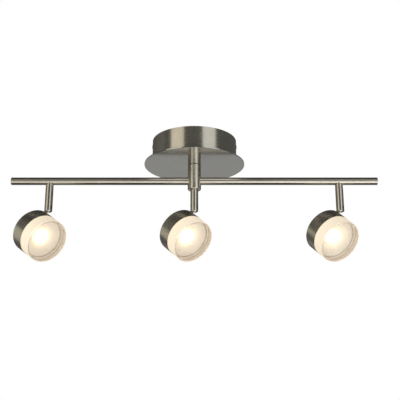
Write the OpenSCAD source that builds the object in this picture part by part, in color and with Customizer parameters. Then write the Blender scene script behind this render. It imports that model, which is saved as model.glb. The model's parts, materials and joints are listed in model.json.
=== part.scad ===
// Three-head bar track light for a ceiling: a canopy over the outlet box, a straight
// bar on a central stem, and three drum-shaped LED heads that swivel and tilt.
// Origin: centre of the canopy's rim, on the ceiling. +Z is up, the bar runs along X,
// and the front of the fixture faces -Y. Millimetres and degrees.

/* [Canopy] */
// Outer radius of the canopy cup
canopy_r = 70.4; // [68:0.1:80]
// Height of the canopy cup, from the ceiling down to the trim disc
canopy_h = 40.3; // [38:0.1:55]
// Sheet thickness of the canopy cup
canopy_wall = 1; // [0.8:0.1:1.5]
// Radius of the trim disc under the cup
disc_r = 83.6; // [76:0.1:95]
// Thickness of the trim disc
disc_t = 2; // [1.5:0.1:3]

/* [Bar] */
// Length of the bar over its end caps
bar_len = 609.6; // [560:0.1:700]
// Outer radius of the bar
bar_r = 6.35; // [6.2:0.05:6.8]
// Wall thickness of the bar
bar_wall = 1.2; // [1:0.1:1.3]
// Drop from the trim disc's underside to the bar's axis
bar_drop = 27.6; // [24:0.1:40]
// Length of each end cap outside the bar
cap_len = 4.7; // [3:0.1:8]
// Distance from the middle of the bar to each side arm
arm_pitch = 240.6; // [180:0.1:265]
// Radius of the stem that carries the bar
stem_r = 10.85; // [10:0.05:11.5]

/* [Arms] */
// Outer radius of the swivelling arm tubes
arm_r = 6.5; // [6.3:0.05:6.6]
// Wall thickness of the arm tubes
arm_wall = 1.2; // [1:0.05:1.25]
// Drop from the bar's axis to the knuckle pins
pivot_drop = 47.9; // [45:0.1:60]
// Length of the arm tube below the knuckle pin
arm_tail = 5.4; // [4:0.1:5.6]
// Radius of the knuckle pin
pin_r = 1.5; // [1.2:0.1:1.6]
// Thickness of the tongue that joins a head to its arm
tongue_t = 2.4; // [1.6:0.1:2.4]

/* [Heads] */
// Outer radius of the head's drum housing
head_r = 37; // [36:0.1:40]
// Depth of the drum housing
head_depth = 25; // [24.5:0.1:32]
// Radius of the lens in front of the housing
lens_r = 36.6; // [36:0.1:37]
// Thickness of the lens in front of the housing
lens_t = 21; // [10:0.1:28]
// Distance from the knuckle pin to the drum's axis
head_drop = 45.7; // [45.5:0.1:50]
// How far the knuckle pin lies behind the housing's front edge
pin_back = 11.7; // [11:0.1:12]

/* [Rest pose] */
// Swivel of the left, centre and right arms, from the front towards +X
pan = [51.5, 44, 34.5]; // [-90:0.5:90]
// Tilt of the left, centre and right heads below level
tilt = [33.5, 37.5, 39.5]; // [-30:0.5:90]

/* [Hidden] */
$fn = 96;
eps = 0.5;                 // overshoot of a cut past the face it opens
fit = 0.05;                // clearance between a shaft and its hole
gap = 0.3;                 // clearance between neighbours that turn on each other

SIDES = ["left", "centre", "right"];
ARM_PIECES = ["arm_tube", "swivel_bush", "knuckle_plug", "knuckle_pin", "arm_lead"];
HEAD_PIECES = ["tongue", "housing", "heat_sink", "led_board", "reflector", "lens", "head_screws"];
FIXED_PIECES = [
    "ceiling_bracket", "ground_screw", "canopy_cup", "trim_disc", "canopy_screws",
    "stem_nipple", "nipple_nut", "lock_washer", "driver_case", "driver_board",
    "driver_lid", "driver_screws", "wire_connectors", "supply_leads", "head_leads",
    "stem", "swivel_collar", "track_bar", "bar_end_caps", "arm_stubs",
    "swivel_posts", "swivel_nuts"
];

// Heights
floor_z = -canopy_h + canopy_wall;      // inside face of the cup's floor
disc_z = -canopy_h - disc_t;            // underside of the trim disc
bar_z = disc_z - bar_drop;              // axis of the bar
pivot_z = bar_z - pivot_drop;           // axis of the knuckle pins
arm_x = [-arm_pitch, 0, arm_pitch];

// Ceiling bracket: a strap with a tab bent down at each end
bracket_t = 1.6;
bracket_w = 16;
bracket_x = canopy_r - canopy_wall - 0.8;
tab_h = 16;
tab_screw_z = -9;
box_slot_x = 39.7;                      // takes outlet boxes with 69.9 and 88.9 mm screw spacing
box_slot_len = 14.4;
box_slot_r = 2.4;
ground_x = 22;
ground_r = 2;
ground_flange = [4.2, 0.8];             // radius and height of the screw's collar
ground_hex = [3.6, 3.2];                // radius and height of its hexagonal head, with the collar
screw_r = 1.95;
screw_len = 6;
screw_head = [3.2, 0.7];
screw_slot = [0.8, 0.4];                // width and depth of the screwdriver slot
cup_edge = 1;                           // rounded lower edge of the cup
disc_edge = 0.5;

// Threaded stem nipple and its hardware
nipple_r = 4.85;
nipple_bore = 3.6;
nipple_top = floor_z + 6.8;
nipple_depth = 11;
washer_t = 0.8;
washer_r = 9.5;
washer_teeth = 12;
tooth_cut = [1.6, 1.4];                 // depth and width of the cuts between its teeth
nut_t = 3.5;
nut_flats = 15;

// LED driver
driver = [84, 30, 20];
driver_y = 31;
driver_wall = 1.5;
driver_lid_t = 1.6;
lid_lip = [1.4, 1.4];                   // depth and thickness of the lip that fits inside the case
ear = [9, 14, 2];
small_screw_r = 1.5;
ear_screw_head = [3, 1.8];
supply_y = 4;                           // the leads pass through holes in the case's ends
lead_way_z = 10;
board = [76, 24, 1.6];
board_z = 3;
transformer = [[-12, -8], [18, 16, 11]];
choke = [[24, 3], [9, 6, 8]];
capacitors = [[-28, 3, 3.5, 11], [-19, 3, 3.5, 11], [16, -5, 4.5, 12]];

// Twist-on connectors, lying on the cup's floor with their mouths towards the driver
connector_x = [-40, -26.5, -13];
connector_y = -24;
connector_z = floor_z + 6.1;
connector_len = 19;
connector_skirt = [6, 3];
connector_body = [5.2, 3.6];            // radius beside the skirt and at the closed end
connector_mouth = [2.6, 11, 2];         // radius, depth and depth of the cone beyond it

// Swivels
stub_neck_r = 5.4;
stub_r = 6.35;
stub_len = 12;                          // from the bar's axis down to the stub's end
stub_edge = 0.4;
arm_top = pivot_drop - stub_len - gap;  // from the knuckle pin up to the arm's top
bush_len = 8;
post_r = 2.5;
post_bore = 1.5;
post_len = 27;                          // from the bar's axis down to the post's end
post_head = [3.9, 1.6];
post_head_z = 3.2;
swivel_nut_t = 3.5;
swivel_nut_flats = 8;
wire_way = 4.4;                         // radius of the wire way in the stem and the bar
stem_neck = 7.5;                        // from the bar's axis down to the swivel collar
stem_foot = 10.5;
stem_foot_r = 9.3;
stem_edge = 0.8;                        // rounded upper edge, under the trim disc
collar_r = 11.1;
collar_end = 15.6;
collar_edge = 1.6;
cap_edge = 0.7;
cap_plug_len = 8;

// Knuckle
arm_edge = 1.5;
arm_bore = arm_r - arm_wall;
slot_w = tongue_t + 0.4;
slot_top = 4.5;
plug_top = 11;
ear_r = 3.2;                            // half width of the tongue
lead_hole = [2.9, -2.6];                // the lead passes beside the tongue and the pin
lead_hole_r = 1;

// Head, in its own frame: +Z is the beam, +Y points to the knuckle,
// and Z = 0 is the front edge of the housing
head_wall = 1.6;
head_bore = head_r - head_wall;
head_edge = 1.5;
sink_front = -8;
sink_t = 4;
sink_back = -22.5;
fin_t = 1.6;
fin_step = 5;
fin_count = 13;
boss = [22, -14];                       // screw bosses on the heat sink
boss_r = 3.6;
board_r = 26;
board_t = 1.4;
led_r = 14.5;
led_t = 1.6;
board_screw_x = 22.5;
tapped_r = 1.3;
board_screw = [1.25, 4.5, 2.4, 0.8];    // radius and length of the shank, radius and height of the head
boss_screw = [1.25, 8, 2.6, 0.9];
flange_screw = [1.25, 5, 2.4, 1.6];
flange = [11, 11, 1.9];                 // foot of the tongue, screwed to the heat sink
flange_y = 20;
flange_screws = [[6.5, 22.5], [6.5, 28.5]];
foot_front = sink_front - sink_t - 0.1; // the foot lies behind the heat sink's plate
reflector_r = 33;
reflector_t = 1.1;
spigot_r = head_bore - 0.2;
spigot_wall = 1.6;
spigot_len = 3;
lens_edge = 1.2;
lens_seat = 0.25;

// Leads, as cables of two cores each
lead_r = 1.1;
thin_lead_r = 0.8;
lead_sides = 8;
supply_start = [driver_wall + 1 - driver.x / 2, driver_y, floor_z + lead_way_z];
head_start = [driver.x / 2 - driver_wall - 1, driver_y, floor_z + lead_way_z];
supply_routes = [
    [supply_start - [0, supply_y, 0], [-46, 27, -29], [-55, 18, -26], [-56, 0, -24], [-44, -12, -30],
        [connector_x[0], -20, connector_z], [connector_x[0], -33, connector_z]],
    [supply_start + [0, supply_y, 0], [-47, 35, -29], [-60, 20, -21], [-50, -2, -19], [-28, -12, -28],
        [connector_x[1], -19, connector_z], [connector_x[1], -33, connector_z]],
    [[ground_x - 5.5, 0, -6], [ground_x - 12, -8, -12], [0, -14, -24],
        [connector_x[2], -19, connector_z], [connector_x[2], -33, connector_z]]
];
middle_route = [
    head_start, [47, driver_y, -29], [53, 16, -26], [34, 4, -23], [12, 0, -24], [1.3, -1.4, -28],
    [1.3, -1.4, nipple_top], [1.3, -1.4, bar_z + 10], [0, -0.4, bar_z + 3], [0, 0, bar_z - 2],
    [0, 0, bar_z - post_len]
];
over = bar_z + 2.2;                     // a lead's height along the bar

// Lead of a side arm, -1 for the left one and 1 for the right one
function side_route(side) = [
    head_start + [0, supply_y * side, 0], [47, driver_y + supply_y * side, -29],
    [55, 16 + 3 * side, -22], [34, 4 + 1.5 * side, -18], [10, 1.4 * side, -19],
    [1.4 * side, 1.2 * side, -26], [1.4 * side, 1.2 * side, nipple_top], [1.4 * side, 1.2 * side, bar_z + 10],
    [2.6 * side, 1.2 * side, bar_z + 3.6], [10 * side, 0, over], [20 * side, 0, over],
    [(arm_pitch - 20) * side, 0, over], [(arm_pitch - 5) * side, 0, over],
    [arm_pitch * side, 0, bar_z - 0.5], [arm_pitch * side, 0, bar_z - 8],
    [arm_pitch * side, 0, bar_z - post_len]
];

// --- shapes that repeat ---

module ring(r_out, r_in, h) {
    difference() {
        cylinder(r = r_out, h = h);
        translate([0, 0, -eps]) cylinder(r = r_in, h = h + 2 * eps);
    }
}

// Round solid standing on Z = 0 with a rounded lower edge
module puck(r, h, edge) {
    rotate_extrude() {
        square([r - edge, h]);
        translate([0, edge]) square([r, h - edge]);
        translate([r - edge, edge]) circle(edge, $fn = 32);
    }
}

// Slot that runs along X and cuts through Z
module slot_cut(length, r, h) {
    for (side = [-1, 1]) translate([side * (length / 2 - r), 0, 0]) cylinder(r = r, h = h);
    translate([r - length / 2, -r, 0]) cube([length - 2 * r, 2 * r, h]);
}

module hex_nut(flats, r_in, h) {
    difference() {
        cylinder(r = flats / 2 / cos(30), h = h, $fn = 6);
        translate([0, 0, -eps]) cylinder(r = r_in, h = h + 2 * eps);
    }
}

// Pan-head screw whose head stands on Z = 0 and whose shank hangs below it. The size is
// the radius and length of the shank, then the radius and height of the head.
module pan_screw(size) {
    recess_w = 0.7;
    difference() {
        mirror([0, 0, 1]) translate([0, 0, -size[3]]) puck(size[2], size[3], size[3] / 3);
        for (turn = [0, 90]) rotate([0, 0, turn])
            translate([-size[2] * 0.6, -recess_w / 2, size[3] / 2]) cube([size[2] * 1.2, recess_w, size[3]]);
    }
    translate([0, 0, -size[1]]) cylinder(r = size[0], h = size[1]);
}

function unit(v) = v / norm(v);

// One pass of corner cutting, which keeps both ends of the path
function soften(p) = concat(
    [p[0]],
    [for (i = [0:len(p) - 2]) each [p[i] * 0.75 + p[i + 1] * 0.25, p[i] * 0.25 + p[i + 1] * 0.75]],
    [p[len(p) - 1]]
);

function tangents(p) = [for (i = [0:len(p) - 1]) unit(p[min(i + 1, len(p) - 1)] - p[max(i - 1, 0)])];

// Normals carried along the path without twist
function normals(t, n, i = 0) =
    i == len(t) ? [] : let (m = unit(n - (n * t[i]) * t[i])) concat([m], normals(t, m, i + 1));

// Round lead along a route, as one closed solid
module lead(route, r) {
    path = soften(soften(route));
    t = tangents(path);
    n = normals(t, abs(t[0].y) > 0.9 ? [1, 0, 0] : [0, 1, 0]);
    rings = len(path);
    points = [
        for (i = [0:rings - 1]) for (k = [0:lead_sides - 1])
            let (a = 360 * k / lead_sides) path[i] + r * (cos(a) * n[i] + sin(a) * cross(t[i], n[i]))
    ];
    sides = [
        for (i = [0:rings - 2]) for (k = [0:lead_sides - 1])
            let (a = i * lead_sides + k, b = i * lead_sides + (k + 1) % lead_sides)
                each [[a, a + lead_sides, b], [b, a + lead_sides, b + lead_sides]]
    ];
    start = [for (k = [0:lead_sides - 1]) k];
    finish = [for (k = [lead_sides - 1:-1:0]) (rings - 1) * lead_sides + k];
    polyhedron(points, concat(sides, [start, finish]));
}

// --- places ---

// Frame of an arm: its origin is on the knuckle pin, which runs along X
module at_arm(i) {
    translate([arm_x[i], 0, pivot_z]) rotate([0, 0, pan[i]]) children();
}

// Frame of a head: its origin is on the drum's axis at the housing's front edge
module at_head(i) {
    at_arm(i) rotate([90 + tilt[i], 0, 0]) translate([0, -head_drop, pin_back]) children();
}

// --- canopy ---

module ceiling_bracket() {
    color("lightgray") difference() {
        union() {
            translate([-bracket_x, -bracket_w / 2, -bracket_t]) cube([2 * bracket_x, bracket_w, bracket_t]);
            for (side = [0, 180]) rotate([0, 0, side])
                translate([bracket_x - bracket_t, -bracket_w / 2, -tab_h]) cube([bracket_t, bracket_w, tab_h]);
        }
        translate([0, 0, -bracket_t - eps]) cylinder(r = nipple_r + 0.25, h = bracket_t + 2 * eps);
        translate([ground_x, 0, -bracket_t - eps]) cylinder(r = ground_r, h = bracket_t + 2 * eps);
        for (side = [-1, 1]) translate([side * box_slot_x, 0, -bracket_t - eps])
            slot_cut(box_slot_len, box_slot_r, bracket_t + 2 * eps);
        translate([0, 0, tab_screw_z]) rotate([0, 90, 0])
            cylinder(r = screw_r, h = 3 * canopy_r, center = true);
    }
}

module ground_screw() {
    color("forestgreen") translate([ground_x, 0, -bracket_t]) rotate([180, 0, 0]) {
        cylinder(r = ground_flange[0], h = ground_flange[1]);
        cylinder(r = ground_hex[0], h = ground_hex[1], $fn = 6);
        translate([0, 0, -bracket_t]) cylinder(r = ground_r - fit, h = bracket_t + fit);
    }
}

module canopy_cup() {
    color("silver") difference() {
        translate([0, 0, -canopy_h]) puck(canopy_r, canopy_h, cup_edge);
        translate([0, 0, floor_z]) puck(canopy_r - canopy_wall, canopy_h, cup_edge);
        translate([0, 0, -canopy_h - eps]) cylinder(r = nipple_r + 0.1, h = canopy_wall + 2 * eps);
        for (side = [0, 180]) rotate([0, 0, side]) {
            translate([canopy_r - screw_len, 0, tab_screw_z]) rotate([0, 90, 0])
                cylinder(r = screw_r + fit, h = 2 * screw_len);
            translate([driver.x / 2 + ear.x / 2, side == 0 ? driver_y : -driver_y, -canopy_h - eps])
                cylinder(r = small_screw_r + fit, h = canopy_wall + 2 * eps);
        }
    }
}

module trim_disc() {
    color("silver") translate([0, 0, disc_z]) difference() {
        rotate_extrude() {
            square([disc_r - disc_edge, disc_t]);
            translate([0, disc_edge]) square([disc_r, disc_t - 2 * disc_edge]);
            for (y = [disc_edge, disc_t - disc_edge]) translate([disc_r - disc_edge, y]) circle(disc_edge, $fn = 32);
        }
        translate([0, 0, -eps]) cylinder(r = nipple_r + 0.1, h = disc_t + 2 * eps);
    }
}

module canopy_screws() {
    color("gray") for (side = [0, 180]) rotate([0, 0, side]) translate([canopy_r, 0, tab_screw_z])
        rotate([0, 90, 0]) difference() {
            union() {
                translate([0, 0, -screw_len]) cylinder(r = screw_r - fit, h = screw_len);
                cylinder(r = screw_head[0], h = screw_head[1]);
            }
            translate([-screw_slot[0] / 2, -2 * screw_head[0], screw_head[1] - screw_slot[1]])
                cube([screw_slot[0], 4 * screw_head[0], 1]);
        }
}

module stem_nipple() {
    color("goldenrod") translate([0, 0, disc_z - nipple_depth])
        ring(nipple_r, nipple_bore, nipple_top - disc_z + nipple_depth);
}

module nipple_nut() {
    color("goldenrod") translate([0, 0, floor_z + washer_t]) hex_nut(nut_flats, nipple_r + fit, nut_t);
}

module lock_washer() {
    color("gray") translate([0, 0, floor_z]) difference() {
        ring(washer_r, nipple_r + 0.1, washer_t);
        for (i = [0:washer_teeth - 1]) rotate([0, 0, i * 360 / washer_teeth])
            translate([washer_r - tooth_cut[0], -tooth_cut[1] / 2, -eps])
                cube([2 * tooth_cut[0], tooth_cut[1], washer_t + 2 * eps]);
    }
}

module at_driver() {
    translate([0, driver_y, floor_z]) children();
}

module driver_case() {
    color("whitesmoke") at_driver() difference() {
        union() {
            translate([-driver.x / 2, -driver.y / 2, 0]) cube(driver);
            for (side = [-1, 1]) translate([side * (driver.x + ear.x) / 2, 0, ear.z / 2])
                cube(ear + [0.2, 0, 0], center = true);
        }
        translate([driver_wall - driver.x / 2, driver_wall - driver.y / 2, driver_wall])
            cube(driver - [2 * driver_wall, 2 * driver_wall, 0]);
        for (side = [-1, 1]) translate([side * (driver.x + ear.x) / 2, 0, -eps])
            cylinder(r = small_screw_r + fit, h = ear.z + 2 * eps);
        for (y = [-supply_y, supply_y]) translate([-driver.x / 2, y, lead_way_z]) rotate([0, 90, 0])
            cylinder(r = lead_r + 0.4, h = 4 * driver_wall, center = true);
        for (y = [-supply_y, 0, supply_y]) translate([driver.x / 2, y, lead_way_z]) rotate([0, 90, 0])
            cylinder(r = lead_r + 0.4, h = 4 * driver_wall, center = true);
    }
}

module driver_board() {
    color("seagreen") at_driver() translate([0, 0, board_z]) {
        translate([-board.x / 2, -board.y / 2, 0]) cube(board);
        for (block = [transformer, choke]) translate([block[0].x, block[0].y, board.z - 0.2]) cube(block[1]);
        for (can = capacitors) translate([can[0], can[1], board.z - 0.2]) cylinder(r = can[2], h = can[3]);
    }
}

module driver_lid() {
    outer = [driver.x - 2 * driver_wall - 0.2, driver.y - 2 * driver_wall - 0.2];
    inner = outer - [2 * lid_lip[1], 2 * lid_lip[1]];
    color("white") at_driver() translate([0, 0, driver.z]) {
        translate([-driver.x / 2, -driver.y / 2, 0]) cube([driver.x, driver.y, driver_lid_t]);
        translate([0, 0, 0.2 - lid_lip[0]]) linear_extrude(lid_lip[0]) difference() {
            square(outer, center = true);
            square(inner, center = true);
        }
    }
}

module driver_screws() {
    color("gray") at_driver() for (side = [-1, 1])
        translate([side * (driver.x + ear.x) / 2, 0, ear.z])
            pan_screw([small_screw_r, ear.z + canopy_wall, ear_screw_head[0], ear_screw_head[1]]);
}

module wire_connectors() {
    mouth = connector_mouth;
    color("orange") for (x = connector_x)
        translate([x, connector_y, connector_z]) rotate([90, 0, 0]) rotate_extrude()
            polygon([
                [mouth[0], 0], [connector_skirt[0], 0], connector_skirt, [connector_body[0], connector_skirt[1] + 1],
                [connector_body[1], connector_len], [0, connector_len], [0, mouth[1] + mouth[2]], [mouth[0], mouth[1]]
            ]);
}

module supply_leads() {
    color("dimgray") for (route = supply_routes) lead(route, lead_r);
}

// Cables from the driver through the nipple and the stem; the outer two run along the bar
module head_leads() {
    color("dimgray") for (route = [side_route(-1), side_route(1), middle_route]) lead(route, lead_r);
}

// --- bar and swivels ---

module stem() {
    color("silver") difference() {
        union() {
            translate([0, 0, disc_z]) mirror([0, 0, 1]) puck(stem_r, bar_drop + stem_neck, stem_edge);
            translate([0, 0, bar_z - stem_foot]) cylinder(r = stem_foot_r, h = stem_foot);
        }
        translate([0, 0, bar_z]) rotate([0, 90, 0]) cylinder(r = bar_r + fit, h = 4 * stem_r, center = true);
        translate([0, 0, disc_z - nipple_depth - 1]) cylinder(r = nipple_r + fit, h = nipple_depth + 1 + eps);
        translate([0, 0, bar_z]) cylinder(r = wire_way, h = bar_drop);
        translate([0, 0, bar_z - stem_foot - eps]) cylinder(r = post_r + fit, h = stem_foot);
    }
}

module swivel_collar() {
    h = collar_end - stem_neck;
    color("silver") translate([0, 0, bar_z - collar_end]) difference() {
        puck(collar_r, h, collar_edge);
        translate([0, 0, collar_end - stem_foot - 0.2]) cylinder(r = stem_foot_r + fit, h = h);
        translate([0, 0, -eps]) cylinder(r = arm_r + 0.45, h = h);
    }
}

module along_bar(x) {
    translate([x, 0, bar_z]) rotate([0, 90, 0]) children();
}

module track_bar() {
    tube_len = bar_len - 2 * cap_len;
    color("silver") difference() {
        along_bar(-tube_len / 2) ring(bar_r, bar_r - bar_wall, tube_len);
        translate([0, 0, bar_z]) cylinder(r = wire_way, h = 2 * bar_r);
        for (x = arm_x) translate([x, 0, bar_z - 2 * bar_r]) cylinder(r = post_r + fit, h = 2 * bar_r);
    }
}

module bar_end_caps() {
    color("silver") for (side = [0, 180]) rotate([0, 0, side]) along_bar(bar_len / 2) mirror([0, 0, 1]) {
        puck(bar_r, cap_len - 0.1, cap_edge);
        translate([0, 0, cap_len - 0.2]) cylinder(r = bar_r - bar_wall - fit, h = cap_plug_len);
    }
}

// Shouldered stubs: the neck is shaped to the bar, and the shoulder seats just below it
module arm_stubs() {
    color("silver") for (x = [-arm_pitch, arm_pitch]) difference() {
        translate([x, 0, bar_z - stub_len]) {
            puck(stub_r, stub_len - bar_r - 0.2, stub_edge);
            cylinder(r = stub_neck_r, h = stub_len);
        }
        along_bar(x - 2 * stub_r) cylinder(r = bar_r + 0.02, h = 4 * stub_r);
        translate([x, 0, bar_z - stub_len - eps]) cylinder(r = post_r + fit, h = stub_len);
    }
}

module swivel_posts() {
    color("goldenrod") for (x = arm_x) translate([x, 0, bar_z]) difference() {
        union() {
            translate([0, 0, -post_len]) cylinder(r = post_r, h = post_len - post_head_z + 0.2);
            translate([0, 0, -post_head_z]) cylinder(r = post_head[0], h = post_head[1]);
        }
        translate([0, 0, -post_len - eps]) cylinder(r = post_bore, h = post_len + eps);
    }
}

module swivel_nuts() {
    color("gray") for (x = arm_x)
        translate([x, 0, bar_z - stub_len - 2 * gap - bush_len - swivel_nut_t])
            hex_nut(swivel_nut_flats, post_r + 0.02, swivel_nut_t);
}

// --- arms, in the frame of an arm ---

module arm_cuts() {
    translate([-slot_w / 2, -2 * arm_r, -2 * arm_tail]) cube([slot_w, 4 * arm_r, 2 * arm_tail + slot_top]);
    rotate([0, 90, 0]) cylinder(r = pin_r + 0.02, h = 4 * arm_r, center = true);
}

module arm_tube() {
    color("silver") difference() {
        translate([0, 0, -arm_tail]) puck(arm_r, arm_top + arm_tail, arm_edge);
        translate([0, 0, -arm_tail - eps]) cylinder(r = arm_bore, h = arm_top + arm_tail + 2 * eps);
        arm_cuts();
    }
}

module knuckle_plug() {
    color("darkgray") difference() {
        translate([0, 0, 0.1 - arm_tail]) cylinder(r = arm_bore - 0.02, h = plug_top + arm_tail - 0.1);
        arm_cuts();
        translate([lead_hole.x, lead_hole.y, -arm_tail - eps])
            cylinder(r = lead_hole_r, h = plug_top + arm_tail + 2 * eps);
    }
}

module knuckle_pin() {
    color("gray") rotate([0, 90, 0]) cylinder(r = pin_r, h = 2 * arm_r - 0.5, center = true);
}

module swivel_bush() {
    color("goldenrod") translate([0, 0, arm_top - bush_len]) ring(arm_bore - 0.02, post_r + fit, bush_len);
}

module arm_lead() {
    start_z = pivot_drop - post_len - gap;
    color("dimgray") lead([
        [0, 0, start_z], [0, 0, start_z - 3], [lead_hole.x, lead_hole.y, plug_top + 2],
        [lead_hole.x, lead_hole.y, plug_top - 2], [lead_hole.x, lead_hole.y, -2]
    ], thin_lead_r);
}

// --- heads, in the frame of a head ---

// Strap from the knuckle's slot into the housing, with a foot screwed to the heat sink
module tongue() {
    front = ear_r - pin_back;
    back = -ear_r - pin_back;
    color("silver") difference() {
        union() {
            translate([-tongue_t / 2, 0, 0]) rotate([90, 0, 90]) linear_extrude(tongue_t) {
                translate([head_drop, -pin_back]) circle(ear_r);
                polygon([
                    [flange_y, back], [flange_y, foot_front], [head_bore - 0.3, foot_front],
                    [head_bore - 0.3, front], [head_drop, front], [head_drop, back]
                ]);
            }
            translate([0, flange_y, foot_front - flange.z]) cube(flange);
        }
        translate([0, head_drop, -pin_back]) rotate([0, 90, 0])
            cylinder(r = pin_r + fit, h = 4 * tongue_t, center = true);
        for (at = flange_screws) translate([at.x, at.y, foot_front - 2 * flange.z])
            cylinder(r = tapped_r, h = 3 * flange.z);
    }
}

module housing() {
    color("silver") difference() {
        translate([0, 0, -head_depth]) puck(head_r, head_depth, head_edge);
        translate([0, 0, head_wall - head_depth]) puck(head_bore, head_depth, head_edge);
        translate([-slot_w / 2, 0, -pin_back - ear_r - gap]) cube([slot_w, 2 * head_r, 2 * ear_r + 2 * gap]);
        for (side = [-1, 1]) translate([side * boss.x, boss.y, -head_depth - eps])
            cylinder(r = small_screw_r, h = head_wall + 2 * eps);
    }
}

module heat_sink() {
    plate_back = sink_front - sink_t;
    pocket = flange.x + 1.5;
    color("lightgray") difference() {
        union() {
            translate([0, 0, plate_back]) cylinder(r = head_bore - 0.5, h = sink_t);
            intersection() {
                translate([0, 0, sink_back]) cylinder(r = head_bore - 2, h = plate_back - sink_back + eps);
                for (i = [0:fin_count - 1])
                    translate([(i - (fin_count - 1) / 2) * fin_step - fin_t / 2, -head_r, sink_back])
                        cube([fin_t, 2 * head_r, plate_back - sink_back + eps]);
            }
            for (side = [-1, 1]) translate([side * boss.x, boss.y, head_wall - head_depth + 0.1])
                cylinder(r = boss_r, h = plate_back + head_depth - head_wall);
        }
        translate([-2.5, flange_y - 2, -head_depth]) cube([pocket + 2.5, head_r, head_depth + plate_back]);
        for (side = [-1, 1]) {
            translate([side * boss.x, boss.y, -head_depth])
                cylinder(r = tapped_r, h = head_depth + sink_front + eps);
            translate([side * board_screw_x, 0, plate_back - eps]) cylinder(r = tapped_r, h = sink_t + 2 * eps);
        }
        for (at = flange_screws) translate([at.x, at.y, plate_back - eps])
            cylinder(r = tapped_r, h = sink_t + 2 * eps);
    }
}

module led_board() {
    color("khaki") translate([0, 0, sink_front]) difference() {
        union() {
            cylinder(r = board_r, h = board_t);
            cylinder(r = led_r, h = board_t + led_t);
        }
        for (side = [-1, 1]) translate([side * board_screw_x, 0, -eps]) cylinder(r = 1.5, h = board_t + 2 * eps);
    }
}

module reflector() {
    low = sink_front + board_t;
    high = -0.4;
    inner = led_r + 0.5;
    color("white") rotate_extrude()
        polygon([
            [inner, low], [inner + reflector_t, low], [reflector_r, high - reflector_t],
            [reflector_r, high], [inner, low + reflector_t]
        ]);
}

module lens() {
    color([1, 0.93, 0.8, 0.6]) {
        translate([0, 0, lens_t]) mirror([0, 0, 1]) puck(lens_r, lens_t - lens_seat, lens_edge);
        translate([0, 0, -spigot_len]) ring(spigot_r, spigot_r - spigot_wall, spigot_len + 1);
    }
}

module head_screws() {
    color("gray") {
        for (at = flange_screws) translate([at.x, at.y, foot_front - flange.z]) rotate([180, 0, 0])
            pan_screw(flange_screw);
        for (side = [-1, 1]) {
            translate([side * board_screw_x, 0, sink_front + board_t]) pan_screw(board_screw);
            translate([side * boss.x, boss.y, -head_depth]) rotate([180, 0, 0]) pan_screw(boss_screw);
        }
    }
}

ceiling_bracket();
ground_screw();
canopy_cup();
trim_disc();
canopy_screws();
stem_nipple();
nipple_nut();
lock_washer();
driver_case();
driver_board();
driver_lid();
driver_screws();
wire_connectors();
supply_leads();
head_leads();
stem();
swivel_collar();
track_bar();
bar_end_caps();
arm_stubs();
swivel_posts();
swivel_nuts();
for (i = [0:2]) {
    at_arm(i) arm_tube();
    at_arm(i) swivel_bush();
    at_arm(i) knuckle_plug();
    at_arm(i) knuckle_pin();
    at_arm(i) arm_lead();
    at_head(i) tongue();
    at_head(i) housing();
    at_head(i) heat_sink();
    at_head(i) led_board();
    at_head(i) reflector();
    at_head(i) lens();
    at_head(i) head_screws();
}
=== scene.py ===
"""Looks for the three-head bar track light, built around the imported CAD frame. Metres."""

import json
import math

import bmesh
import bpy
from mathutils import Matrix, Vector


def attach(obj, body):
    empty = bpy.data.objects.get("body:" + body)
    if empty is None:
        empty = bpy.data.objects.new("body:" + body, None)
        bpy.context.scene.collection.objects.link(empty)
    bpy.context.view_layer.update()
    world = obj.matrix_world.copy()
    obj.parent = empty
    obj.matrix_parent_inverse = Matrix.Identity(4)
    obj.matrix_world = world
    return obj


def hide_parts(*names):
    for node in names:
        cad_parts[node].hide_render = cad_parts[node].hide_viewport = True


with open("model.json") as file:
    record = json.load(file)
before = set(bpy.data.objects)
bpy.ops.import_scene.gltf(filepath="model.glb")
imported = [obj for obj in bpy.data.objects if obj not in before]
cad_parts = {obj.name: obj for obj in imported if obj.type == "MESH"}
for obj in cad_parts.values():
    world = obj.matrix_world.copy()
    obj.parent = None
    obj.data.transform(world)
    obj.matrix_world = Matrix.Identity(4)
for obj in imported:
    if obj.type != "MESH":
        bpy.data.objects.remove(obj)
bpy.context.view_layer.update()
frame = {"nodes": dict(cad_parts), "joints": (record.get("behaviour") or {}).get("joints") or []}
scene = bpy.context.scene

SIDES = ("left", "centre", "right")
MM = 0.001

# --- node helpers ---


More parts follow.
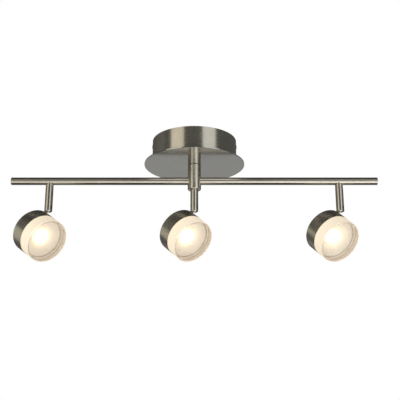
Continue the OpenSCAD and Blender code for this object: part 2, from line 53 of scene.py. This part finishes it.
class Nodes:
    """A new material with one Principled shader, and short calls for the nodes around it."""

    def __init__(self, name):
        self.material = bpy.data.materials.new(name)
        self.material.use_nodes = True
        self.tree = self.material.node_tree
        self.tree.nodes.clear()
        output = self.tree.nodes.new("ShaderNodeOutputMaterial")
        self.shader = self.tree.nodes.new("ShaderNodeBsdfPrincipled")
        self.tree.links.new(self.shader.outputs[0], output.inputs["Surface"])

    def set(self, **values):
        """Sets the shader's own sockets; an underscore in a name stands for a space."""
        for name, value in values.items():
            self.shader.inputs[name.replace("_", " ")].default_value = value

    def link(self, source, target):
        self.tree.links.new(source, target)

    def into(self, source, socket):
        self.link(source, self.shader.inputs[socket])

    def place(self, origin=None, axes=None):
        """Object coordinates, or their components along axes from origin."""
        coords = self.tree.nodes.new("ShaderNodeTexCoord").outputs["Object"]
        if origin is None:
            return coords
        moved = self.vector("SUBTRACT", coords, origin)
        combine = self.tree.nodes.new("ShaderNodeCombineXYZ")
        for i, axis in enumerate(axes):
            dot = self.vector_node("DOT_PRODUCT", moved, axis)
            self.link(dot.outputs["Value"], combine.inputs[i])
        return combine.outputs[0]

    def vector_node(self, operation, a, b):
        node = self.tree.nodes.new("ShaderNodeVectorMath")
        node.operation = operation
        self.link(a, node.inputs[0])
        node.inputs[1].default_value = b
        return node

    def vector(self, operation, a, b):
        return self.vector_node(operation, a, b).outputs[0]

    def add(self, a, b):
        node = self.tree.nodes.new("ShaderNodeMath")
        node.operation = "ADD"
        for socket, value in zip(node.inputs, (a, b)):
            self.link(value, socket)
        return node.outputs[0]

    def noise(self, coords, scale, detail=3.0, rough=0.5):
        node = self.tree.nodes.new("ShaderNodeTexNoise")
        self.link(coords, node.inputs["Vector"])
        node.inputs["Scale"].default_value = scale
        node.inputs["Detail"].default_value = detail
        node.inputs["Roughness"].default_value = rough
        return node.outputs["Fac"]

    def spread(self, value, low, high, from_low=0.3, from_high=0.7):
        """value, from from_low to from_high, spread over low to high."""
        node = self.tree.nodes.new("ShaderNodeMapRange")
        self.link(value, node.inputs["Value"])
        node.inputs["From Min"].default_value = from_low
        node.inputs["From Max"].default_value = from_high
        node.inputs["To Min"].default_value = low
        node.inputs["To Max"].default_value = high
        return node.outputs["Result"]

    def ramp(self, value, stops):
        """Colour ramp over (position, colour) stops."""
        node = self.tree.nodes.new("ShaderNodeValToRGB")
        self.link(value, node.inputs["Fac"])
        elements = node.color_ramp.elements
        while len(elements) < len(stops):
            elements.new(0.5)
        for element, (position, colour) in zip(elements, stops):
            element.position = position
            element.color = (*colour, 1.0)
        return node.outputs["Color"]

    def bump(self, height, distance, strength):
        node = self.tree.nodes.new("ShaderNodeBump")
        self.link(height, node.inputs["Height"])
        node.inputs["Distance"].default_value = distance
        node.inputs["Strength"].default_value = strength
        return node.outputs["Normal"]


def brushed(name, tints, grain, rough, depth=6e-6, frame_axes=None, around=None):
    """Brushed metal. grain is the noise's scale along each axis, so that it is fine across
    the brushing and long along it. around names the axis that the brushing runs round."""
    m = Nodes(name)
    coords = m.place(*(frame_axes or ()))
    lines = m.noise(m.vector("MULTIPLY", coords, grain), 1.0, detail=4.0, rough=0.6)
    patches = m.noise(coords, 26.0, detail=2.0)
    smudges = m.noise(coords, 90.0, detail=5.0, rough=0.65)
    m.into(m.ramp(patches, [(0.3, tints[0]), (0.7, tints[1])]), "Base Color")
    worn = m.add(m.spread(lines, rough[0], rough[1]), m.spread(smudges, -0.02, 0.035))
    m.into(worn, "Roughness")
    m.into(m.bump(lines, depth, 0.6), "Normal")
    m.set(Metallic=1.0)
    if around:
        tangent = m.tree.nodes.new("ShaderNodeTangent")
        tangent.direction_type = "RADIAL"
        tangent.axis = around
        m.into(tangent.outputs[0], "Tangent")
        m.set(Anisotropic=0.8, Anisotropic_Rotation=0.25)
    return m.material


def moulded(name, low, high, rough=0.5):
    """Moulded plastic: faint tone variation and a fine spark-eroded grain."""
    grain, depth, uneven = 900.0, 2e-5, 0.08
    m = Nodes(name)
    coords = m.place()
    m.into(m.ramp(m.noise(coords, 40.0), [(0.3, low), (0.7, high)]), "Base Color")
    fine = m.noise(coords, grain, detail=2.0)
    m.into(m.spread(fine, rough - uneven, rough + uneven), "Roughness")
    m.into(m.bump(fine, depth, 0.35), "Normal")
    return m.material


def circuit_board(name):
    """Green solder mask, paler in lines where copper runs under it."""
    m = Nodes(name)
    coords = m.place()
    tracks = m.tree.nodes.new("ShaderNodeTexBrick")
    m.link(coords, tracks.inputs["Vector"])
    tracks.inputs["Scale"].default_value = 220.0
    tracks.inputs["Mortar Size"].default_value = 0.03
    tracks.inputs["Color1"].default_value = (0.015, 0.12, 0.05, 1.0)
    tracks.inputs["Color2"].default_value = (0.02, 0.16, 0.07, 1.0)
    tracks.inputs["Mortar"].default_value = (0.06, 0.3, 0.12, 1.0)
    m.into(tracks.outputs["Color"], "Base Color")
    m.into(m.bump(tracks.outputs["Fac"], 3e-5, 0.5), "Normal")
    m.into(m.spread(m.noise(coords, 200.0), 0.25, 0.45), "Roughness")
    return m.material


# --- materials ---

# Two tints of each metal, which it drifts between
NICKEL = ((0.60, 0.565, 0.50), (0.66, 0.62, 0.55))
MIRROR_NICKEL = ((0.60, 0.60, 0.58), (0.64, 0.63, 0.61))
ZINC = ((0.52, 0.54, 0.57), (0.62, 0.64, 0.66))
GREEN_CHROMATE = ((0.03, 0.2, 0.07), (0.05, 0.3, 0.1))
BRASS = ((0.68, 0.47, 0.18), (0.78, 0.57, 0.26))
ALUMINIUM = ((0.62, 0.63, 0.64), (0.72, 0.73, 0.74))

# Noise scales per metre: long along the brushing and fine across it, or even
ROUND_Z = (40.0, 40.0, 5200.0)
ROUND_X = (5200.0, 40.0, 40.0)
ROUND_DRUM = (18.0, 18.0, 5200.0)
COARSE = (300.0, 300.0, 300.0)
FINE = (900.0, 900.0, 900.0)

materials = {
    "canopy": brushed("brushed_nickel_canopy", NICKEL, ROUND_Z, (0.22, 0.28), depth=2.5e-6, around="Z"),
    "bar": brushed("brushed_nickel_bar", NICKEL, ROUND_X, (0.28, 0.36), around="X"),
    "arm": brushed("brushed_nickel_arm", NICKEL, ROUND_Z, (0.18, 0.26), around="Z"),
    "disc": brushed("polished_nickel_disc", MIRROR_NICKEL, ROUND_Z, (0.10, 0.13), depth=5e-7, around="Z"),
    "zinc": brushed("zinc_plate", ZINC, COARSE, (0.3, 0.5)),
    "green": brushed("green_chromate", GREEN_CHROMATE, COARSE, (0.3, 0.5)),
    "brass": brushed("turned_brass", BRASS, ROUND_Z, (0.2, 0.36)),
    "sink": brushed("extruded_aluminium", ALUMINIUM, FINE, (0.35, 0.5)),
    "white": moulded("white_plastic", (0.72, 0.72, 0.70), (0.80, 0.80, 0.78)),
    "orange": moulded("orange_plastic", (0.62, 0.16, 0.02), (0.72, 0.22, 0.03), rough=0.4),
    "lead": moulded("lead_insulation", (0.02, 0.02, 0.02), (0.04, 0.04, 0.04), rough=0.4),
    "board": circuit_board("driver_circuit_board"),
}

FIXED_MATERIALS = {
    "ceiling_bracket": "zinc", "ground_screw": "green", "canopy_cup": "canopy", "trim_disc": "disc",
    "canopy_screws": "arm", "stem_nipple": "brass", "nipple_nut": "brass", "lock_washer": "zinc",
    "driver_case": "white", "driver_board": "board", "driver_lid": "white", "driver_screws": "zinc",
    "wire_connectors": "orange", "supply_leads": "lead", "head_leads": "lead", "stem": "canopy",
    "swivel_collar": "canopy", "track_bar": "bar", "bar_end_caps": "bar", "arm_stubs": "arm",
    "swivel_posts": "brass", "swivel_nuts": "zinc",
}
HEAD_MATERIALS = {
    "arm_tube": "arm", "swivel_bush": "brass", "knuckle_plug": "zinc", "knuckle_pin": "zinc",
    "arm_lead": "lead", "tongue": "arm", "heat_sink": "sink", "head_screws": "zinc",
}

# --- frames of the heads ---


def corners_along(node, axis):
    """Lowest and highest reach of a CAD node along an axis."""
    reach = [v.co.dot(axis) for v in frame["nodes"][node].data.vertices]
    return min(reach), max(reach)


def head_frame(side):
    """Matrix of a head's own frame: +Z is the beam, +Y points to the knuckle, and the
    origin is on the drum's axis at the housing's front edge."""
    joint = next(j for j in frame["joints"] if j["name"] == f"{side}_tilt")
    across = Vector(joint["axis"]).normalized()
    down = math.radians(90.0 - joint["range_deg"][1])  # the tilt ends straight down
    forward = across.cross(Vector((0.0, 0.0, 1.0)))
    beam = forward * math.cos(down) - Vector((0.0, 0.0, math.sin(down)))
    up = beam.cross(across)
    low, high = corners_along(f"{side}_lens", up)
    front = corners_along(f"{side}_housing", beam)[1]
    origin = across * Vector(joint["pos_m"]).dot(across) + up * (low + high) / 2 + beam * front
    return Matrix.Translation(origin) @ Matrix((across, up, beam)).transposed().to_4x4()


HEAD = {side: head_frame(side) for side in SIDES}

# --- mesh helpers ---


def arc(centre, radius, start, end):
    """Profile points (r, z) on an arc from start to end degrees."""
    steps = 6
    turns = [math.radians(start + (end - start) * i / steps) for i in range(steps + 1)]
    return [(centre[0] + radius * math.cos(a), centre[1] + radius * math.sin(a)) for a in turns]


ON_AXIS = 1e-7            # a profile point nearer than this is on the axis
SHARP_ANGLE = 35.0        # an edge that bends by more degrees than this stays crisp


def lathe(name, profile, place, materials_of, segments=128):
    """A turned solid from (r, z, material index) points, from the axis round to the axis
    or closed on itself. place is its matrix."""
    mesh = bpy.data.meshes.new(name)
    bm = bmesh.new()
    rings = []
    for r, z, _ in profile:
        if r < ON_AXIS:
            rings.append([bm.verts.new((0.0, 0.0, z))])
            continue
        turns = [2 * math.pi * k / segments for k in range(segments)]
        rings.append([bm.verts.new((r * math.cos(a), r * math.sin(a), z)) for a in turns])
    pairs = list(zip(rings, rings[1:], profile[1:]))
    if len(rings[0]) > 1:
        pairs.append((rings[-1], rings[0], profile[0]))
    for a, b, (_, _, index) in pairs:
        for k in range(segments):
            n = (k + 1) % segments
            corner = [a[k % len(a)], a[n % len(a)], b[n % len(b)], b[k % len(b)]]
            unique = list(dict.fromkeys(corner))
            face = bm.faces.new(unique)
            face.material_index = index
            face.smooth = True
    bmesh.ops.recalc_face_normals(bm, faces=bm.faces)
    bm.to_mesh(mesh)
    bm.free()
    mesh.set_sharp_from_angle(angle=math.radians(SHARP_ANGLE))
    piece = bpy.data.objects.new(name, mesh)
    scene.collection.objects.link(piece)
    piece.matrix_world = place
    for material in materials_of:
        mesh.materials.append(material)
    return piece


# --- head materials, in the frame of a head ---

ACRYLIC_IOR = 1.49
LENS_DEPTH = 21.0 * MM
LENS_RADIUS = 36.6 * MM
FACE_RIM = 31.6 * MM      # the line inside the face's rim lies between this and the edge
LED_REACH = 14.6 * MM     # the LED's colours are spread from the axis out to here
REFLECTOR_REACH = 33.0 * MM
SKIN = 0.35 * MM          # thickness of the lens's frosted side wall
SKIN_FIT = 0.05 * MM      # clearance between the wall and the clear body
LENS_SEAT = 0.25 * MM     # the lens stands just clear of the housing
FACE, INSIDE, SEAL = 0, 1, 2


def head_axes(side):
    """Origin and axes of a head's own frame, for Nodes.place."""
    turned = HEAD[side]
    return tuple(turned.translation), [tuple(turned.col[i].xyz) for i in range(3)]


def housing_metal(side):
    """Brushed round the drum: fine along the beam."""
    name = f"brushed_nickel_{side}_housing"
    return brushed(name, NICKEL, ROUND_DRUM, (0.24, 0.30), 2.5e-6, head_axes(side))


def radius_of(m, coords):
    """Distance from the Z axis."""
    flat = m.vector("MULTIPLY", coords, (1.0, 1.0, 0.0))
    node = m.tree.nodes.new("ShaderNodeVectorMath")
    node.operation = "LENGTH"
    m.link(flat, node.inputs[0])
    return node.outputs["Value"]


def radial_glow(m, coords, reach, stops, strength):
    """Emission that changes with the distance from the beam's axis, out to reach."""
    far = m.spread(radius_of(m, coords), 0.0, 1.0, from_low=0.0, from_high=reach)
    m.into(m.ramp(far, stops), "Emission Color")
    m.set(Emission_Strength=strength)


def lens_face_painted_glow():
    """Clear acrylic with a faint haze and a faint painted glow for the LED's light."""
    m = Nodes("acrylic_face")
    coords = m.place()
    m.into(m.spread(m.noise(coords, 300.0), 0.17, 0.23), "Roughness")
    m.into(m.bump(m.noise(coords, 60.0, detail=2.0), 4e-5, 0.15), "Normal")
    far = m.spread(radius_of(m, coords), 0.0, 1.0, from_low=FACE_RIM, from_high=LENS_RADIUS)
    clear, line, rim = (0.97, 0.94, 0.90), (0.74, 0.67, 0.58), (0.97, 0.93, 0.88)
    stops = [(0.0, clear), (0.38, clear), (0.47, line), (0.56, rim), (1.0, rim)]
    m.into(m.ramp(far, stops), "Base Color")
    m.set(IOR=ACRYLIC_IOR, Transmission_Weight=0.92)
    # faint painted glow for the LED's light in the acrylic
    m.set(Emission_Color=(1.0, 0.86, 0.68, 1.0), Emission_Strength=0.04)
    return m.material


def frosted_with_painted_glow(name, low, high, glow):
    """A frosted surface as seen through the clear face, with a painted glow of strength glow for the LED's
    light inside the lens.
    """
    m = Nodes(name)
    coords = m.place()
    fine = m.noise(coords, 700.0)
    m.into(m.ramp(fine, [(0.3, low), (0.7, high)]), "Base Color")
    m.into(m.spread(fine, 0.5, 0.7), "Roughness")
    # painted glow: stands in for the LED's light on this surface
    m.set(Emission_Color=(1.0, 0.87, 0.70, 1.0), Emission_Strength=glow)
    return m.material


def lens_side_painted_glow():
    """Frosted acrylic edge with a painted glow for the LED's light within it: brightest beside the metal.
    """
    m = Nodes("acrylic_frosted_edge")
    coords = m.place()
    split = m.tree.nodes.new("ShaderNodeSeparateXYZ")
    m.link(coords, split.inputs[0])
    # painted glow, brightest beside the metal and dimmer towards the front
    depth = m.spread(split.outputs["Z"], 0.0, 1.0, from_low=0.0, from_high=LENS_DEPTH)
    stops = [(0.0, (1.0, 0.88, 0.68)), (0.06, (0.92, 0.76, 0.55)), (1.0, (0.84, 0.70, 0.52))]
    m.into(m.ramp(depth, stops), "Emission Color")
    fine = m.noise(coords, 700.0)
    m.into(m.ramp(fine, [(0.3, (0.86, 0.82, 0.74)), (0.7, (0.92, 0.88, 0.80))]), "Base Color")
    m.into(m.spread(fine, 0.42, 0.6), "Roughness")
    m.into(m.bump(fine, 1.5e-5, 0.3), "Normal")
    m.set(IOR=ACRYLIC_IOR, Emission_Strength=0.68)
    return m.material


def led_light():
    """The lit emitter: white-hot in the middle, warmer at its edge."""
    m = Nodes("led_phosphor")
    coords = m.place()
    stops = [
        (0.0, (1.0, 0.96, 0.88)), (0.42, (1.0, 0.92, 0.78)),
        (0.70, (0.33, 0.27, 0.205)), (1.0, (0.15, 0.12, 0.088)),
    ]
    radial_glow(m, coords, LED_REACH, stops, strength=5.0)
    m.into(m.noise(coords, 900.0), "Roughness")
    m.set(Base_Color=(0.9, 0.75, 0.3, 1.0))
    return m.material


def reflector_painted_glow(side):
    """Gloss white, with a painted glow for the emitter's light, brightest close to it, and a dark line
    inside its rim.
    """
    m = Nodes(f"reflector_painted_glow_{side}")
    coords = m.place(*head_axes(side))
    fine = m.noise(coords, 500.0)
    far = m.spread(radius_of(m, coords), 0.0, 1.0, from_low=0.0, from_high=REFLECTOR_REACH)
    plain, line = (0.77, 0.75, 0.70), (0.30, 0.26, 0.20)
    m.into(m.ramp(far, [(0.90, plain), (0.925, line), (0.95, line), (0.975, plain)]), "Base Color")
    m.into(m.spread(fine, 0.3, 0.42), "Roughness")
    m.into(m.bump(fine, 1e-5, 0.3), "Normal")
    # Painted glow for the emitter's light on the reflector: it falls off outwards and is dimmer still at
    # the line
    stops = [
        (0.45, (0.48, 0.39, 0.29)), (0.66, (0.165, 0.13, 0.098)), (0.80, (0.11, 0.086, 0.065)),
        (0.90, (0.10, 0.078, 0.059)), (0.93, (0.04, 0.031, 0.023)), (0.97, (0.09, 0.071, 0.055)),
    ]
    radial_glow(m, coords, REFLECTOR_REACH, stops, strength=1.0)
    return m.material


def led_substrate():
    """White solder mask of the LED board."""
    m = Nodes("led_board_white")
    coords = m.place()
    tones = [(0.3, (0.72, 0.70, 0.64)), (0.7, (0.80, 0.78, 0.72))]
    m.into(m.ramp(m.noise(coords, 120.0), tones), "Base Color")
    m.into(m.spread(m.noise(coords, 700.0), 0.35, 0.5), "Roughness")
    return m.material


# In the order of FACE, INSIDE and SEAL
CORE_MATERIALS = [
    lens_face_painted_glow(),
    # the last number of each is the strength of its painted glow
    frosted_with_painted_glow("acrylic_wall_inside", (0.66, 0.60, 0.54), (0.72, 0.66, 0.59), 0.25),
    frosted_with_painted_glow("lens_bond", (0.38, 0.32, 0.26), (0.45, 0.38, 0.31), 0.16),
]
EDGE_MATERIALS = [lens_side_painted_glow()]
LED_LIGHT = led_light()
LED_BOARD = led_substrate()


def core_profile(radius, thickness):
    """Clear body of the lens. A fine groove runs round the front face inside its rim, and
    the back's outer ring is bonded to the housing."""
    rim, groove, depth, edge = 2.4 * MM, 0.45 * MM, 0.25 * MM, 0.9 * MM
    seal, backing = 1.9 * MM, 3.4 * MM
    line = radius - rim
    front = [
        (0.0, thickness), (line - groove, thickness),
        (line, thickness - depth), (line + groove, thickness),
    ]
    over = arc((radius - edge, thickness - edge), edge, 90.0, 0.0)
    return (
        [(r, z, FACE) for r, z in front + over]
        + [(radius, LENS_SEAT, INSIDE), (radius - seal, LENS_SEAT, SEAL)]
        + [(radius - backing, LENS_SEAT, INSIDE), (0.0, LENS_SEAT, FACE)]
    )


def skin_profile(radius, thickness):
    """Thin frosted wall round the clear body."""
    edge = 1.1 * MM
    over = arc((radius - edge, thickness - edge), edge, 0.0, 50.0)
    inner = radius - SKIN
    inside = [(inner, over[-1][1] - edge), (inner, LENS_SEAT)]
    return [(r, z, 0) for r, z in [(radius, LENS_SEAT)] + over + inside]


def make_lens(side):
    """Solid acrylic disc with a frosted wall, in place of the plain CAD lens."""
    place = HEAD[side]
    across, _, beam = (place.col[i].xyz for i in range(3))
    low, high = corners_along(f"{side}_lens", across)
    thickness = corners_along(f"{side}_lens", beam)[1] - corners_along(f"{side}_housing", beam)[1]
    radius = (high - low) / 2
    body = core_profile(radius - SKIN - SKIN_FIT, thickness)
    core = lathe(f"{side}_lens_body", body, place, CORE_MATERIALS)
    skin = lathe(f"{side}_lens_wall", skin_profile(radius, thickness), place, EDGE_MATERIALS)
    for piece in (core, skin):
        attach(piece, f"{side}_head")
    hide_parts(f"{side}_lens")


def make_emitter(side):
    """Shallow dome of phosphor over the LED board's middle."""
    place = HEAD[side]
    beam = place.col[2].xyz
    top = corners_along(f"{side}_led_board", beam)[1] - place.translation.dot(beam)
    radius, rise, lift, sunk = 14.5 * MM, 0.35 * MM, 0.05 * MM, 0.4 * MM
    steps = 8
    out = [1 - i / steps for i in range(steps + 1)]
    dome = [(radius * f, top + lift + rise * (1 - f ** 2)) for f in out]
    profile = [(0.0, top - sunk), (radius, top - sunk)] + dome
    piece = lathe(f"{side}_led_phosphor", [(r, z, 0) for r, z in profile], place, [LED_LIGHT], segments=96)
    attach(piece, f"{side}_head")


def make_stem_painted_shadow():
    """Dark ring painted in as the shadow line where the stem meets the trim disc."""
    upward = Vector((0.0, 0.0, 1.0))
    under = corners_along("trim_disc", upward)[0]
    left, right = corners_along("stem", Vector((1.0, 0.0, 0.0)))
    inset, inner, drop = 0.05 * MM, 9.6 * MM, 0.55 * MM
    outer = (right - left) / 2 - inset
    profile = [(inner, 0.0, 0), (outer, 0.0, 0), (outer, -drop, 0), (inner, -drop, 0)]
    # near-black ring: a painted shadow line, not a rubber part
    shadow_material = moulded("stem_painted_shadow", (0.012, 0.012, 0.010), (0.02, 0.02, 0.017), rough=0.7)
    piece = lathe("stem_painted_shadow_ring", profile, Matrix.Translation((0.0, 0.0, under)), [shadow_material])
    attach(piece, "fixture")


# --- dress the CAD nodes ---


def dress(node, material):
    """Gives a CAD node one material."""
    mesh = frame["nodes"][node].data
    mesh.materials.clear()
    mesh.materials.append(material)


for node, name in FIXED_MATERIALS.items():
    dress(node, materials[name])
for side in SIDES:
    for piece, name in HEAD_MATERIALS.items():
        dress(f"{side}_{piece}", materials[name])
    dress(f"{side}_housing", housing_metal(side))
    dress(f"{side}_led_board", LED_BOARD)
    dress(f"{side}_reflector", reflector_painted_glow(side))
    make_lens(side)
    make_emitter(side)
make_stem_painted_shadow()

# --- camera ---

CAMERA_PLACE = (0.0094, -1.259, -0.511)
CAMERA_PITCH = 17.97      # degrees above level
CAMERA_LENS = 72.0        # millimetres

camera = bpy.data.objects.new("camera", bpy.data.cameras.new("camera"))
scene.collection.objects.link(camera)
camera.location = CAMERA_PLACE
camera.rotation_euler = (math.radians(90.0 + CAMERA_PITCH), 0.0, 0.0)
camera.data.lens = CAMERA_LENS
camera.data.clip_start = 0.05
scene.camera = camera

# --- studio ---


def at_angle(azimuth, distance, z):
    """A point round the object: azimuth 0 is towards the front, positive towards +X."""
    a = math.radians(azimuth)
    return Vector((math.sin(a) * distance, -math.cos(a) * distance, z))


def softbox(name, place, target, width, height, radiance, colour):
    """A rectangular area light at place that faces target, with an even radiance."""
    light = bpy.data.lights.new(name, "AREA")
    light.shape = "RECTANGLE"
    light.size = width
    light.size_y = height
    light.energy = radiance * math.pi * width * height
    light.color = colour
    lamp = bpy.data.objects.new(name, light)
    scene.collection.objects.link(lamp)
    lamp.location = place
    lamp.rotation_mode = "QUATERNION"
    lamp.rotation_quaternion = (place - target).to_track_quat("Z", "Y")
    lamp.visible_camera = False


MIDDLE = Vector((0.0, 0.0, -0.1))
BESIDE = Vector((0.0, 0.0, 0.5))    # the two tall softboxes face this point, from its height

# Name, azimuth, distance and height, the point it faces, width, height, radiance, colour
SOFTBOXES = [
    ("softbox_left", (-46.8, 3.0, 0.5), BESIDE, 2.04, 3.6, 0.82, (1.0, 0.93, 0.77)),
    ("softbox_right", (40.8, 3.0, 0.5), BESIDE, 2.02, 3.6, 0.81, (0.98, 1.0, 0.97)),
    ("softbox_low_left", (-32.0, 1.12, -1.0), MIDDLE, 1.3, 0.82, 1.15, (1.0, 0.97, 0.88)),
    ("softbox_low_right", (32.0, 1.12, -1.0), MIDDLE, 1.3, 0.82, 2.3, (1.0, 0.98, 0.92)),
    ("card_behind", (180.0, 1.6, -0.75), MIDDLE, 2.4, 0.9, 0.26, (1.0, 1.0, 0.96)),
    ("card_left_back", (-100.0, 1.6, -0.03), MIDDLE, 1.1, 0.66, 0.42, (1.0, 0.99, 0.78)),
    ("card_right_low", (97.0, 1.3, -1.0), MIDDLE, 1.0, 0.6, 1.1, (1.0, 0.97, 0.92)),
]
for name, spot, target, width, height, radiance, colour in SOFTBOXES:
    softbox(name, at_angle(*spot), target, width, height, radiance, colour)

FLOOR_Z = -1.75
FLOOR_HALF = 6.0
# Grey of the room from straight down (0) through level (0.5) to straight up (1)
ROOM_SHADES = [(0.0, 0.05), (0.12, 0.055), (0.42, 0.11), (0.68, 0.11), (0.85, 0.065), (1.0, 0.05)]
ROOM_TINT = (1.0, 1.0, 0.96)


def make_floor():
    """Pale floor far below. It is left out of reflections and bounced light, where the
    room's own shades stand in for it."""
    mesh = bpy.data.meshes.new("floor")
    bm = bmesh.new()
    bmesh.ops.create_grid(bm, x_segments=8, y_segments=8, size=FLOOR_HALF)
    bm.to_mesh(mesh)
    bm.free()
    floor = bpy.data.objects.new("floor", mesh)
    scene.collection.objects.link(floor)
    floor.location = (0.0, 0.0, FLOOR_Z)
    floor.visible_glossy = False
    floor.visible_diffuse = False
    m = Nodes("pale_floor")
    tones = [(0.3, (0.80, 0.80, 0.79)), (0.7, (0.83, 0.83, 0.82))]
    pale = m.ramp(m.noise(m.place(), 3.0), tones)
    m.into(pale, "Base Color")
    m.into(pale, "Emission Color")
    m.set(Roughness=0.7, Emission_Strength=0.6)
    mesh.materials.append(m.material)


def make_world():
    """White behind the object; a dim grey room in its reflections, darker at top and bottom."""
    world = bpy.data.worlds.new("studio")
    scene.world = world
    world.use_nodes = True
    tree = world.node_tree
    tree.nodes.clear()
    output = tree.nodes.new("ShaderNodeOutputWorld")
    mix = tree.nodes.new("ShaderNodeMixShader")
    path = tree.nodes.new("ShaderNodeLightPath")
    place = tree.nodes.new("ShaderNodeTexCoord")
    split = tree.nodes.new("ShaderNodeSeparateXYZ")
    height = tree.nodes.new("ShaderNodeMapRange")
    height.inputs["From Min"].default_value = -1.0
    tree.links.new(place.outputs["Generated"], split.inputs[0])
    tree.links.new(split.outputs["Z"], height.inputs["Value"])
    shade = tree.nodes.new("ShaderNodeValToRGB")
    tree.links.new(height.outputs["Result"], shade.inputs["Fac"])
    elements = shade.color_ramp.elements
    for _ in range(len(ROOM_SHADES) - 2):
        elements.new(0.5)
    for element, (position, grey) in zip(elements, ROOM_SHADES):
        element.position = position
        element.color = (*(grey * part for part in ROOM_TINT), 1.0)
    room = tree.nodes.new("ShaderNodeBackground")
    tree.links.new(shade.outputs["Color"], room.inputs["Color"])
    white = tree.nodes.new("ShaderNodeBackground")
    white.inputs["Color"].default_value = (1.0, 1.0, 1.0, 1.0)
    tree.links.new(path.outputs["Is Camera Ray"], mix.inputs["Fac"])
    tree.links.new(room.outputs[0], mix.inputs[1])
    tree.links.new(white.outputs[0], mix.inputs[2])
    tree.links.new(mix.outputs[0], output.inputs["Surface"])


make_floor()
make_world()
scene.view_settings.view_transform = "Standard"
